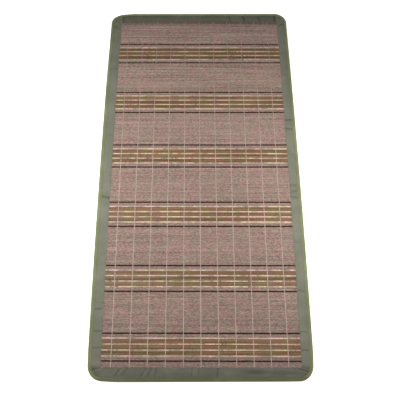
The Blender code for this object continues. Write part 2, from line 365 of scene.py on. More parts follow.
def half_width_at(y, inset=0.0):
    """Half the plan's width at y, for a line that lies inset inside the outline."""
    past = np.maximum(np.abs(y) - (LENGTH / 2 - CORNER_RADIUS), 0.0)
    arc = np.sqrt(np.maximum((CORNER_RADIUS - inset) ** 2 - past**2, 0.0))
    return WIDTH / 2 - CORNER_RADIUS + arc


def depth_inside(x, y):
    """Distance from a point of the plan to the outline."""
    along_x = CORNER_RADIUS - (WIDTH / 2 - np.abs(x))
    along_y = CORNER_RADIUS - (LENGTH / 2 - np.abs(y))
    rounded = CORNER_RADIUS - np.hypot(along_x, along_y)
    straight = CORNER_RADIUS - np.maximum(along_x, along_y)
    return np.where((along_x > 0) & (along_y > 0), rounded, straight)


def lift_at(depth):
    """Height of the panel's underside over the floor."""
    return LIFT * np.clip((LIFT_NONE - depth) / (LIFT_NONE - LIFT_FULL), 0.0, 1.0)


print("plan", WIDTH, "by", round(LENGTH, 3), "m, sides bowed by", round(SIDE_BOW * 1000, 1), "mm")

# %% [markdown]
# ## Many bars in one mesh
#
# Splints, threads and stitches are all short bars with a changing cross-section. One helper joins
# many of them into a single mesh. It takes an array with an axis for the bars, one for the stations
# along a bar and one for the points of the cross-section. A number between 0 and 1, such as each
# splint's tone, can be stored at the points for the finish to read.

# %% Meshes from arrays
def bar_faces(bars, stations, around, looped=False):
    """Quads along each bar, and its two end caps unless its stations form a loop."""
    index = np.arange(bars * stations * around).reshape(bars, stations, around)
    low = index if looped else index[:, :-1]
    high = np.roll(index, -1, axis=1) if looped else index[:, 1:]
    sides = np.stack([low, np.roll(low, -1, axis=2), np.roll(high, -1, axis=2), high], axis=-1)
    faces = sides.reshape(-1, 4).tolist()
    if not looped:
        faces += index[:, 0, ::-1].tolist() + index[:, -1].tolist()
    return faces


def signed_volume(points, faces):
    """Volume inside the faces, negative where they look inward."""
    quads = np.array([face for face in faces if len(face) == 4])
    corners = points[quads]
    fans = np.cross(corners[:, 1], corners[:, 2]) + np.cross(corners[:, 2], corners[:, 3])
    return float((corners[:, 0] * fans).sum()) / 6


def new_piece(name, bars, finish, painted=None, looped=False, sharp=40.0):
    """A piece of the mat from an array of bars, riding with the mat."""
    points = bars.reshape(-1, 3)
    faces = bar_faces(*bars.shape[:3], looped)
    if signed_volume(points, faces) < 0:
        faces = [face[::-1] for face in faces]
    data = bpy.data.meshes.new(name)
    data.from_pydata(points.tolist(), [], faces)
    for mark, values in (painted or {}).items():
        layer = data.attributes.new(mark, "FLOAT", "POINT")
        layer.data.foreach_set("value", np.asarray(values, dtype=np.float32).ravel())
    data.materials.append(finish.material)
    data.shade_smooth()
    data.set_sharp_from_angle(angle=math.radians(sharp))
    piece = bpy.data.objects.new(name, data)
    bpy.context.scene.collection.objects.link(piece)
    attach(piece, "root")
    triangles = sum(len(face) - 2 for face in faces)
    print(name, triangles, "triangles")
    return piece


# %% [markdown]
# ## The layout of the panel
#
# From end to end the panel is a list of bars. Most are fine splints about two millimetres wide.
# Each of the six bands has three wide brown slats between four cream ones, a run of fine splints on
# either side with a darker one in the middle, and a dark slat at both edges. A hand-tied mat isn't
# quite regular, so the bands' places come from a short table.

# %% Layout of the splints and slats
PANEL_INSET = 0.0170
SPLINT_PITCH = 0.0021
PINK_RUN = 0.0142
BAND_SLATS = (
    ("dark", 0.0062),
    ("pink", PINK_RUN),
    ("cream", 0.0055),
    ("brown", 0.0182),
    ("cream", 0.0055),
    ("brown", 0.0182),
    ("cream", 0.0055),
    ("brown", 0.0182),
    ("cream", 0.0055),
    ("pink", PINK_RUN),
    ("dark", 0.0062),
)
# Middle of each band along Y, and the distance between its two dark slats
BANDS = (
    (0.6513, 0.1092),
    (0.3692, 0.1113),
    (0.0832, 0.1125),
    (-0.2022, 0.1130),
    (-0.4887, 0.1098),
    (-0.7681, 0.1077),
)
TOPS = {"fine": 0.0018, "rose": 0.0018, "dark": 0.0017, "cream": 0.0020, "brown": 0.0022}


def fine_run(far, near, middle_kind="fine"):
    """Fine splints side by side between two places."""
    count = max(round((far - near) / SPLINT_PITCH), 1)
    edges = np.linspace(far, near, count + 1)
    kinds = ["fine"] * count
    kinds[count // 2] = middle_kind
    return list(zip(kinds, edges[:-1], edges[1:]))


def band_bars(middle, reach):
    """The bars of one striped band, from its far edge to its near edge."""
    nominal = sum(width for _, width in BAND_SLATS)
    stretch = (reach + BAND_SLATS[0][1]) / nominal
    place = middle + nominal * stretch / 2
    bars = []
    for kind, width in BAND_SLATS:
        near = place - width * stretch
        bars += fine_run(place, near, "rose") if kind == "pink" else [(kind, place, near)]
        place = near
    return bars


def panel_bars():
    """Every bar of the panel, from the far end to the near end: kind, far edge, near edge."""
    bars = []
    place = LENGTH / 2 - PANEL_INSET
    for middle, reach in BANDS:
        band = band_bars(middle, reach)
        bars += fine_run(place, band[0][1]) + band
        place = band[-1][2]
    return bars + fine_run(place, -(LENGTH / 2 - PANEL_INSET))


layout = panel_bars()
for kind in TOPS:
    print(kind, sum(bar[0] == kind for bar in layout))

# %% [markdown]
# ## Bamboo
#
# Each splint is split from another stem, so its tone differs from its neighbour's. In patches as
# big as a hand the colour drifts between pinkish and straw brown. Bundles of splints from one stem
# show as lighter and darker streaks, and worn spots as flecks across a few of them. About every
# twenty centimetres a splint has a node, a short darker ring, and fine fibres run along it. The
# finish reads the splint's own random number, stored at its points, so that neighbours differ. One
# function makes all the bamboo colours, because only the colours and strengths differ.
#
# The cream slats vary in tone along their length, and the short bright dashes on them are painted
# highlight. The first splints beside the far border are darker.

# %% Bamboo finish
NODE_SPACING = 0.21
NODE_DARK = 0.28
FIBRE = 0.00035
PATCH_X = 0.060
PATCH_Y = 0.048
FAR_EDGE_START = 0.815
FAR_EDGE_END = 0.850
FAR_EDGE_DARK = 0.60


def bamboo_finish(name, warm, straw, flecked, streaked, spread, grain=0.2, stretches_and_glints=0.0, specular=0.3):
    """warm and straw are the two colours between which the bamboo drifts. The other numbers are how
    strong the flecks, streaks, splint tones, lengthwise grain, and the uneven stretches with
    dashes of painted highlight are."""
    finish = Finish(name, roughness=0.5, specular=specular)
    x, y, _ = finish.place()
    tone = finish.painted("tone")
    patch = finish.blur(x * (1 / PATCH_X), y * (1 / PATCH_Y), tone * 0.12)
    colour = finish.mix(patch.rise(0.38, 0.62), warm, straw)
    fibres = finish.blur(x * 30.0, y * (1 / FIBRE), tone * 9.0, detail=1.0)
    streaks = finish.blur(x * 2.4, y * 88.0, 0.0, detail=3.0)
    flecks = finish.blur(x * 105.0, y * 250.0, tone * 0.5, detail=1.0).rise(0.34, 0.66)
    lines = finish.blur(x * 3.0, y * 330.0, tone * 9.0).rise(0.34, 0.66)
    ring = ((x * (1 / NODE_SPACING) + tone * 5.3).part() - 0.5).size().rise(0.003, 0.014)
    light_part = 1.0 + (tone - 0.5) * spread + (fibres - 0.5) * 0.16 + (flecks - 0.5) * flecked
    light_part = light_part + (streaks - 0.5) * (streaked + y.rise(0.1, 0.8) * streaked)
    light_part = light_part + (lines - 0.5) * grain
    # Uneven stretches of tone along the cream slats, with short dashes of painted highlight
    if stretches_and_glints:
        long_part = finish.blur(x * 26.0, y * 2.0, tone * 9.0).rise(0.38, 0.62)
        glint_dash = finish.blur(x * 90.0, tone * 7.0, 0.0).rise(0.44, 0.56)
        where_glints = finish.blur(x * 7.0, y * 5.0, 0.0).rise(0.50, 0.60)
        light_part = light_part + (long_part - 0.5) * stretches_and_glints + (glint_dash - 0.5) * where_glints * stretches_and_glints
    # The first splints beside the far border are darker.
    far_dimming = y.rise(FAR_EDGE_START, FAR_EDGE_END) * FAR_EDGE_DARK
    light_part = light_part * (1.0 - (1.0 - ring) * NODE_DARK) * (1.0 - far_dimming)
    finish.paint(finish.brighten(colour, light_part))
    finish.dull(0.14 * fibres + 0.43)
    finish.emboss(fibres + (1.0 - ring) * 0.8, 0.00008)
    return finish


finishes = {
    "fine": bamboo_finish(
        "bamboo_fine", opaque(0.388, 0.254, 0.219), opaque(0.356, 0.266, 0.211), 0.52, 0.60, 0.30
    ),
    "rose": bamboo_finish(
        "bamboo_rose", opaque(0.340, 0.218, 0.190), opaque(0.318, 0.232, 0.185), 0.40, 0.30, 0.25
    ),
    "cream": bamboo_finish(
        "bamboo_cream", opaque(0.600, 0.442, 0.366), opaque(0.590, 0.482, 0.346), 0.25, 0.20, 0.15,
        stretches_and_glints=0.50,
    ),
    "brown": bamboo_finish(
        "bamboo_brown", opaque(0.230, 0.118, 0.064), opaque(0.203, 0.134, 0.056), 0.22, 0.20, 0.20, grain=0.7
    ),
    "dark": bamboo_finish(
        "bamboo_dark", opaque(0.046, 0.013, 0.007), opaque(0.036, 0.015, 0.006), 0.2, 0.2, 0.5, specular=0.05
    ),
}
print("bamboo finishes:", ", ".join(finishes))

# %% [markdown]
# ## Splints and slats
#
# A splint is flat underneath and gently rounded on top. It could be a stretched box with a bevel,
# but there are about six hundred, so they are swept as arrays: the same stations along each one, at
# the border, at the thread rows and between them. Under a thread the splint is pressed down a
# little, and between two threads it wanders by a tenth of a millimetre. The wide slats get more
# points across, for a crown with two shallow grooves where the stem's fibres have opened.

# %% Splints and slats
THREAD_ROWS = (-0.3578, -0.2843, -0.2135, -0.1420, -0.0700, 0.0005, 0.0720, 0.1425, 0.2120, 0.2810, 0.3495)
UNDERSIDE = 0.00025  # the thread passes below the splints
PRESSED = 0.00012
WANDER = 0.00012
FINE_SECTION = ((-0.49, 0.0), (0.49, 0.0), (0.49, 0.62), (0.24, 1.0), (-0.24, 1.0), (-0.49, 0.62))
SLAT_SECTION = (
    (-0.490, 0.0),
    (0.490, 0.0),
    (0.490, 0.60),
    (0.455, 0.90),
    (0.330, 1.00),
    (0.175, 0.99),
    (0.150, 0.93),
    (0.125, 0.99),
    (-0.125, 1.00),
    (-0.160, 0.92),
    (-0.195, 0.99),
    (-0.330, 1.00),
    (-0.455, 0.90),
    (-0.490, 0.60),
)
chance = np.random.default_rng(7)


def crossings():
    """Stations along a bar, as x on the full width: the ends, the lifted rims, the thread rows and
    two places between each pair."""
    edge = WIDTH / 2 - PANEL_INSET
    rims = [edge, WIDTH / 2 - LIFT_FULL, WIDTH / 2 - LIFT_NONE]
    rows = [-rims[2], *THREAD_ROWS, rims[2]]
    between = [low + (high - low) * part for low, high in zip(rows, rows[1:]) for part in (1 / 3, 2 / 3)]
    return np.array(sorted([-rims[0], -rims[1], *rows, *between, rims[1], rims[0]]))


def swept_bars(bars, section):
    """Bars with one section, as an array, and the random tone of each."""
    stations = crossings()
    far = np.array([bar[1] for bar in bars])
    near = np.array([bar[2] for bar in bars])
    tops = np.array([TOPS[bar[0]] for bar in bars])
    middle = (far + near) / 2
    edge = WIDTH / 2 - PANEL_INSET
    x = stations[None, :] * (half_width_at(middle, PANEL_INSET) / edge)[:, None]
    shape = x.shape
    at_thread = np.isin(stations, THREAD_ROWS)[None, :]
    inside = (np.abs(stations) < WIDTH / 2 - LIFT_NONE)[None, :]
    y = middle[:, None] + chance.normal(0.0, WANDER, shape) * (inside & ~at_thread)
    top = tops[:, None] - PRESSED * at_thread + chance.normal(0.0, 0.00003, shape)
    lift = lift_at(depth_inside(x, y))
    across, up = np.array(section).T
    width = (far - near)[:, None, None]
    points = np.empty((*shape, len(section), 3))
    points[..., 0] = x[..., None]
    points[..., 1] = y[..., None] + across * width
    points[..., 2] = lift[..., None] + UNDERSIDE + up * (top - UNDERSIDE)[..., None]
    tones = chance.random(len(bars))
    return lie(points), np.broadcast_to(tones[:, None, None], points.shape[:3])


bamboo_pieces = []
groups = [
    ("splints_far", [bar for bar in layout if bar[0] == "fine" and bar[1] > 0], "fine", FINE_SECTION),
    ("splints_near", [bar for bar in layout if bar[0] == "fine" and bar[1] <= 0], "fine", FINE_SECTION),
    ("splints_rose", [bar for bar in layout if bar[0] == "rose"], "rose", FINE_SECTION),
    ("slats_dark", [bar for bar in layout if bar[0] == "dark"], "dark", SLAT_SECTION),
    ("slats_cream", [bar for bar in layout if bar[0] == "cream"], "cream", SLAT_SECTION),
    ("slats_brown", [bar for bar in layout if bar[0] == "brown"], "brown", SLAT_SECTION),
]
for name, bars, kind, section in groups:
    points, tones = swept_bars(bars, section)
    piece = new_piece(name, points, finishes[kind], {"tone": tones}, sharp=50.0)
    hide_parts("bamboo_panel")
    bamboo_pieces.append(piece)

# %% [markdown]
# ## Thread rows
#
# Two cotton threads are twisted round the splints in each row, so from above a row is a chain of
# short floats, one for every two splints and one for every wide slat. A single long tube would
# lose that chain. Each float is a small flattened bar that dives between the splints at its ends,
# and every second one leans the other way. The same chain shows underneath.

# %% Thread rows
THREAD_WIDTH = 0.0024
THREAD_HEIGHT = 0.0006
THREAD_LEAN = 0.0003
BORDER = {"left": 0.0525, "right": 0.0490, "far": 0.0515, "near": 0.0535}
TUCKED = 0.006  # how far a row goes on under the border cloth


def thread_finish():
    """Cotton: pale, matt, with the twist of its strands as a fine slanted ripple. Towards the far
    end it is stained nearly as brown as the bamboo."""
    finish = Finish("cotton_thread", roughness=0.85, specular=0.3)
    x, y, _ = finish.place()
    twist = ((x * 2600.0 + y * 5200.0).wave() + 1.0) * 0.5
    worn = finish.blur(x * 6.0, y * 60.0, 0.0)
    colour = finish.mix(worn.rise(0.35, 0.65), opaque(0.70, 0.54, 0.47), opaque(0.66, 0.56, 0.45))
    stained = finish.mix(y.rise(-0.05, 0.80) * 0.92, colour, opaque(0.45, 0.33, 0.29))
    light_part = 0.78 + twist * 0.12 + worn * 0.30 + y.rise(-0.85, -0.35) * -0.12
    finish.paint(finish.brighten(stained, light_part))
    finish.emboss(twist, 0.00006)
    return finish


def float_spans():
    """Far and near end of each float, and the height it lies at. Fine splints are tied in pairs."""
    spans = []
    waiting = None
    for kind, far, near in layout:
        if kind in ("fine", "rose") and waiting is None:
            waiting = far
            continue
        spans.append((far if waiting is None else waiting, near, TOPS[kind]))
        waiting = None
    limit_far = LENGTH / 2 - BORDER["far"] + TUCKED
    limit_near = -(LENGTH / 2 - BORDER["near"]) - TUCKED
    return np.array([span for span in spans if limit_near < span[1] and span[0] < limit_far])


def thread_bars(spans, around, along, under):
    """Floats of every row as flattened bars. along has a row for each station: share of the float's
    length, share of its thickness."""
    rows = np.array(THREAD_ROWS)[:, None]
    far, near, top = spans.T
    count = len(far)
    lean = THREAD_LEAN * np.where(np.arange(count) % 2 == 0, 1.0, -1.0)
    share, thick = np.array(along).T
    angle = np.linspace(0.0, 2 * np.pi, around, endpoint=False) + np.pi / around
    y = far[:, None] + (near - far)[:, None] * share
    x = rows[..., None] + lean[:, None] * (2 * share - 1)
    height = np.where(under, THREAD_HEIGHT / 2, top + THREAD_HEIGHT * 0.15)[:, None]
    dive = (1 - thick) * THREAD_HEIGHT * (1.0 if under else -1.0)
    points = np.empty((len(THREAD_ROWS), count, len(share), around, 3))
    points[..., 0] = x[..., None] + np.sin(angle) * (THREAD_WIDTH / 2) * (0.45 + 0.55 * thick)[:, None]
    points[..., 1] = y[..., None]
    points[..., 2] = (height + dive)[..., None] + np.cos(angle) * (THREAD_HEIGHT / 2) * thick[:, None]
    return lie(points.reshape(-1, len(share), around, 3))


thread = thread_finish()
spans = float_spans()
# Name: points round a float, its stations, whether it lies under the splints
THREAD_PIECES = {
    "threads_top": (6, ((-0.06, 0.30), (0.22, 1.0), (0.78, 1.0), (1.06, 0.30)), False),
    "threads_under": (5, ((-0.05, 0.35), (0.5, 1.0), (1.05, 0.35)), True),
}
for name, shape in THREAD_PIECES.items():
    piece = new_piece(name, thread_bars(spans, *shape), thread)
    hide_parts("bamboo_panel")

# %% [markdown]
# ## Border cloth
#
# The border is a plain-woven grey-green cotton. At arm's length it looks flat, but it is a little
# uneven in tone. The creases are darkened with painted shade, and the ridges between them are paler
# with painted highlight. The weave is a checker of tiny bumps, made by multiplying a wave along X by
# a wave along Y. The mesh stores how deep each point lies in a crease.

# %% Cloth finishes
YARN = 0.0011
# how much painted shade darkens the deepest creases
CREASE_SHADE = 0.42
NEAR_RIM = (0.880, 0.888)  # where the painted shade of the near rim starts and ends


def woven_finish(name, colour, faded_and_highlit, slant, near_shade=0.0, roughness=0.88):
    """Cloth with yarns along X and Y, or along the diagonals when slant is 1. near_shade is how
    much painted shade darkens the near rim."""
    finish = Finish(name, roughness)
    x, y, z = finish.place()
    turn = 2 * math.pi / YARN
    warp = ((x + y * slant) * turn).wave()
    weft = ((y - x * slant) * turn).wave()
    weave = warp * weft * 0.5 + 0.5
    slub = finish.blur(x * 700.0, y * 90.0, z * 200.0) + finish.blur(x * 90.0, y * 700.0, z * 200.0)
    cloud = finish.blur(x * 14.0, y * 14.0, z * 60.0, detail=3.0)
    fold = finish.painted("fold")
    # Paler in faded patches, and paler on the fold ridges as painted highlight
    share = (cloud.rise(0.38, 0.66) * 0.7 + (0.0 - fold).rise(0.1, 0.8) * 0.5).rise(0.0, 1.0)
    light_part = 0.84 + weave * 0.10 + slub * 0.12 + (cloud - 0.5) * 0.22
    # Painted shade in the fold troughs
    light_part = light_part * (1.0 - fold.rise(0.15, 1.0) * CREASE_SHADE)
    # Painted shade along the near rim
    light_part = light_part * (1.0 - (0.0 - y).rise(*NEAR_RIM) * near_shade)
    finish.paint(finish.brighten(finish.mix(share, colour, faded_and_highlit), light_part))
    finish.emboss(weave * 0.8 + slub * 0.3, 0.00012)
    return finish


# The far and near strips are darker copies of the side cloth, as painted shade for the ends.
cloth_finishes = {
    "side": woven_finish("cloth_sides", opaque(0.196, 0.201, 0.145), opaque(0.222, 0.224, 0.170), 0.0),
    "far": woven_finish("cloth_far_shaded", opaque(0.130, 0.138, 0.090), opaque(0.150, 0.150, 0.105), 0.0),
    "near": woven_finish("cloth_near_shaded", opaque(0.147, 0.141, 0.102), opaque(0.172, 0.166, 0.123), 0.0),
}
# The tape's near rim is darkened by painted shade.
tape_finish = woven_finish("olive_tape", opaque(0.220, 0.243, 0.100), opaque(0.264, 0.286, 0.143), 1.0, 0.40)
print("yarns every", YARN * 1000, "mm")

# %% [markdown]
# ## Where each strip runs
#
# The two side strips run the whole length and turn round the far corners. The far strip lies
# between them. The near strip runs the whole width and takes in both near corners. So there are
# four seams: two across the far strip's ends, and two where the sides meet the near strip. A run
# lists, for stations every few millimetres, the point on the outline, the direction inwards and the
# point where the strip's inner edge is. Near a corner the inner points bunch up.

# %% Runs of the four strips
UNDER_WIDTH = 0.030
STATION_PITCH = 0.0045
CORNER_X = WIDTH / 2 - CORNER_RADIUS
CORNER_Y = LENGTH / 2 - CORNER_RADIUS
BUNCHED = 0.060  # length of straight border, next to a corner, where the inner points start to bunch


def arc_points(turns, mirror_x, mirror_y):
    """Points on a corner of the outline. turns are measured from the long side."""
    around = np.stack([-np.cos(turns), np.sin(turns)], axis=-1)
    return (np.array([-CORNER_X, CORNER_Y]) + CORNER_RADIUS * around) * (mirror_x, mirror_y)


def arc_headings(share, mirror_x, mirror_y):
    """Directions inwards, turning from across the mat to along it."""
    angle = share * np.pi / 2
    return np.stack([np.cos(angle) * mirror_x, -np.sin(angle) * mirror_y], axis=-1)


def steps_over(length):
    return max(math.ceil(length / STATION_PITCH), 2)


def side_run(side):
    mirror = -1 if side == "right" else 1
    seam_x = WIDTH / 2 - BORDER[side]
    start = -(LENGTH / 2 - BORDER["near"]) + GAP / 2
    last = math.acos((seam_x + GAP / 2 - CORNER_X) / CORNER_RADIUS)
    y = np.linspace(start, CORNER_Y, steps_over(CORNER_Y - start))
    turns = np.linspace(0.0, last, steps_over(CORNER_RADIUS * last) + 1)[1:]
    straight = np.stack([-half_width_at(y) * mirror, y], axis=-1)
    outer = np.concatenate([straight, arc_points(turns, mirror, 1)])
    heads = np.tile([float(mirror), 0.0], (len(y), 1))
    inward = np.concatenate([heads, arc_headings(turns / last, mirror, 1)])
    place = np.concatenate([y, CORNER_Y + CORNER_RADIUS * turns])
    ends = [start, CORNER_Y - BUNCHED, place[-1]]
    inner_y = np.interp(place, ends, [start, CORNER_Y - BUNCHED, LENGTH / 2 - BORDER["far"]])
    inner = np.stack([np.full_like(inner_y, -seam_x * mirror), inner_y], axis=-1)
    return {"side": side, "outer": outer, "inward": inward, "inner": inner, "place": place}


def far_run():
    start = -(WIDTH / 2 - BORDER["left"]) + GAP / 2
    end = WIDTH / 2 - BORDER["right"] - GAP / 2
    x = np.linspace(start, end, steps_over(end - start))
    past = np.maximum(np.abs(x) - CORNER_X, 0.0)
    y = CORNER_Y + np.sqrt(CORNER_RADIUS**2 - past**2)
    outer = np.stack([x, y], axis=-1)
    inner = np.stack([x, np.full_like(x, LENGTH / 2 - BORDER["far"])], axis=-1)
    inward = np.tile([0.0, -1.0], (len(x), 1))
    return {"side": "far", "outer": outer, "inward": inward, "inner": inner, "place": x}


def near_run():
    inner_y = LENGTH / 2 - BORDER["near"] - GAP / 2
    first = math.asin((inner_y - CORNER_Y) / CORNER_RADIUS)
    turns = np.linspace(first, np.pi / 2, steps_over(CORNER_RADIUS * (np.pi / 2 - first)) + 1)[:-1]
    share = (turns - first) / (np.pi / 2 - first)
    x = np.linspace(-CORNER_X, CORNER_X, steps_over(2 * CORNER_X))
    straight = np.stack([x, np.full_like(x, -LENGTH / 2)], axis=-1)
    outer = np.concatenate([arc_points(turns, 1, -1), straight, arc_points(turns, -1, -1)[::-1]])
    heads = np.tile([0.0, 1.0], (len(x), 1))
    corners = [arc_headings(share, 1, -1), arc_headings(share, -1, -1)[::-1]]
    inward = np.concatenate([corners[0], heads, corners[1]])
    past = CORNER_RADIUS * (np.pi / 2 - turns)
    place = np.concatenate([-CORNER_X - past, x, (CORNER_X + past)[::-1]])
    bunched = CORNER_X - BUNCHED
    seams = (-(WIDTH / 2 - BORDER["left"]), WIDTH / 2 - BORDER["right"])
    ends = [place[0], -bunched, bunched, place[-1]]
    inner_x = np.interp(place, ends, [seams[0], -bunched, bunched, seams[1]])
    inner = np.stack([inner_x, np.full_like(inner_x, -inner_y)], axis=-1)
    return {"side": "near", "outer": outer, "inward": inward, "inner": inner, "place": place}


runs = {"left": side_run("left"), "right": side_run("right"), "far": far_run(), "near": near_run()}
for side, run in runs.items():
    print(side, len(run["place"]), "stations")

# %% [markdown]
# ## Folds in the border
#
# Sewing a long strip round a stiff panel gathers it. Between two creases the cloth stands a little
# proud, at a crease it is drawn down, and beside the seams there are small puckers. Cloth simulation
# could make puckers, but not these ones in these places, so the main creases are listed one by one:
# a row gives the place along the strip, half the width, the height of the ridge or depth of the
# trough, how much it leans, and the stretch of the strip's width that it crosses.

# %% Folds listed one by one
# side: (place, reach, height, lean, from depth, to depth), in metres; lean is metres per metre
FOLDS = {
    "left": (
        (-0.844, 0.003, -0.0008, 0.0, 0.012, 0.06),
        (-0.833, 0.006, 0.0006, 0.1, 0.012, 0.06),
        (-0.771, 0.004, -0.001, 0.0, 0.012, 0.06),
        (-0.764, 0.007, 0.0005, 0.0, 0.016, 0.06),
        (-0.705, 0.004, -0.001, 0.0, 0.014, 0.06),
        (-0.697, 0.007, 0.0005, 0.0, 0.014, 0.06),
        (-0.617, 0.005, -0.0008, 0.1, 0.01, 0.05),
        (-0.59, 0.006, -0.0004, -0.1, 0.02, 0.055),
        (-0.385, 0.008, -0.0004, 0.2, 0.02, 0.05),
        (-0.122, 0.009, -0.0007, -0.2, 0.015, 0.06),
        (0.19, 0.01, -0.0004, 0.2, 0.02, 0.06),
        (0.56, 0.01, -0.0005, 0.0, 0.014, 0.06),
        (0.815, 0.005, -0.0007, 0.0, 0.016, 0.06),
        (0.848, 0.006, 0.0009, 0.3, 0.01, 0.05),
        (0.864, 0.005, -0.0009, 0.3, 0.01, 0.05),
        (0.883, 0.006, 0.0008, 0.2, 0.01, 0.046),
        (0.901, 0.005, -0.0009, 0.0, 0.01, 0.046),
    ),
    "right": (
        (-0.844, 0.003, -0.0008, 0.0, 0.012, 0.06),
        (-0.83, 0.007, 0.0006, 0.0, 0.012, 0.06),
        (-0.779, 0.0035, -0.0011, 0.0, 0.01, 0.06),
        (-0.771, 0.007, 0.0005, 0.0, 0.01, 0.06),
        (-0.708, 0.0035, -0.001, 0.0, 0.01, 0.06),
        (-0.7, 0.007, 0.0005, 0.0, 0.01, 0.06),
        (-0.541, 0.008, -0.0006, 0.3, 0.014, 0.055),
        (-0.33, 0.01, -0.0004, 0.2, 0.02, 0.05),
        (-0.123, 0.008, -0.0007, 0.2, 0.016, 0.05),
        (-0.094, 0.008, -0.0006, -0.2, 0.016, 0.05),
        (-0.064, 0.009, -0.0006, 0.1, 0.016, 0.05),
        (0.223, 0.006, -0.0008, 0.1, 0.012, 0.055),
        (0.271, 0.006, -0.0008, -0.1, 0.012, 0.055),
        (0.52, 0.009, -0.0004, 0.2, 0.016, 0.05),
        (0.83, 0.006, -0.0008, 0.0, 0.012, 0.055),
        (0.866, 0.007, 0.0007, 0.2, 0.01, 0.05),
        (0.89, 0.006, -0.0008, 0.2, 0.01, 0.046),
    ),
    "far": (
        (-0.39, 0.005, -0.0008, 0.0, 0.012, 0.06),
        (-0.375, 0.007, 0.0006, 0.2, 0.012, 0.06),
        (-0.22, 0.009, -0.0004, 0.3, 0.014, 0.05),
        (0.02, 0.01, -0.0004, -0.2, 0.014, 0.05),
        (0.159, 0.006, -0.0008, 0.3, 0.012, 0.055),
        (0.231, 0.006, -0.001, 0.3, 0.012, 0.055),
        (0.255, 0.006, 0.0006, 0.3, 0.012, 0.055),
        (0.309, 0.006, -0.0008, 0.2, 0.012, 0.055),
        (0.39, 0.005, -0.0009, 0.0, 0.012, 0.06),
    ),
    "near": (
        (-0.465, 0.005, -0.0009, 0.0, 0.012, 0.06),
        (-0.448, 0.006, 0.0008, 0.2, 0.012, 0.055),
        (-0.415, 0.005, -0.0007, 0.4, 0.014, 0.055),
        (-0.329, 0.0042, -0.0009, 0.8, 0.02, 0.06),
        (-0.318, 0.004, 0.0012, 0.8, 0.02, 0.06),
        (-0.302, 0.0042, -0.0008, 0.8, 0.022, 0.06),
        (-0.227, 0.004, -0.0009, 0.7, 0.02, 0.06),
        (-0.217, 0.004, 0.0012, 0.7, 0.018, 0.06),
        (-0.204, 0.0042, -0.0008, 0.5, 0.018, 0.06),
        (-0.192, 0.0036, 0.001, 0.3, 0.02, 0.055),
        (-0.18, 0.004, -0.0008, 0.2, 0.018, 0.05),
        (-0.038, 0.005, -0.0006, 0.2, 0.018, 0.055),
        (-0.01, 0.005, -0.0006, 0.0, 0.018, 0.055),
        (0.065, 0.005, -0.0007, 0.1, 0.014, 0.06),
        (0.22, 0.07, -0.0007, 0.0, 0.028, 0.046),
        (0.35, 0.06, -0.0006, 0.0, 0.024, 0.042),
        (0.43, 0.006, 0.0008, -0.5, 0.012, 0.05),
        (0.448, 0.005, -0.001, -0.4, 0.012, 0.055),
        (0.462, 0.006, 0.0009, -0.3, 0.012, 0.055),
        (0.475, 0.004, -0.0009, 0.0, 0.012, 0.06),
    ),
}
FOLD_SOFTNESS = 0.006  # over which a fold fades out across the strip
NOISE_START = {"left": 3.0, "right": 17.0, "far": 31.0, "near": 47.0}


def soft_noise(first, second, start):
    """Blender's own noise, from -1 to 1, over two arrays of the same shape."""
    flat = [noise.noise((a, b, start)) for a, b in zip(first.ravel(), second.ravel())]
    return np.array(flat).reshape(first.shape)


def fold_heights(side, place, depth):
    """Height that the hand-placed folds add, over arrays of place and depth."""
    total = np.zeros(np.broadcast(place, depth).shape)
    for centre, reach, height, lean, start, end in FOLDS[side]:
        middle = (start + min(end, BORDER[side])) / 2
        across = np.exp(-(((place - centre - lean * (depth - middle)) / reach) ** 2))
        fade_in = 1 / (1 + np.exp(-(depth - start) / FOLD_SOFTNESS * 4))
        fade_out = 1 / (1 + np.exp((depth - end) / FOLD_SOFTNESS * 4))
        total += height * across * fade_in * fade_out
    return total


for side, rows in FOLDS.items():
    print(side, len(rows), "folds")

# %% [markdown]
# ## The upper face of a strip
#
# A strip starts under the tape at the rim, steps up over the panel's edge, runs inwards a little
# puffed, and is pulled down by the seam just before its inner edge, where it lies on the splints.
# One function gives this height, and both the cloth and its stitches use it.

# %% Height of the cloth
RIM_HEIGHT = 0.0052
RIM_RADIUS = RIM_HEIGHT / 2
RIM_CLOTH = RIM_RADIUS - CLOTH - GAP  # radius of the cloth's bend inside the tape
STEP_START = 0.0120
STEP_END = 0.0180
PUFF = 0.0008
SEAM_INSET = 0.0028  # from the inner edge to the row of stitches
SEAM_DIP = 0.00035
SMOOTHED = 0.004

slat_places = np.array([(bar[1] + bar[2]) / 2 for bar in layout])[::-1]
slat_tops = np.array([TOPS[bar[0]] for bar in layout])[::-1]


def panel_top_at(y):
    """Height of the splints at y, smoothed over the cloth's stiffness."""
    shifts = (-SMOOTHED, 0.0, SMOOTHED)
    return sum(np.interp(y + shift, slat_places, slat_tops) for shift in shifts) / len(shifts)


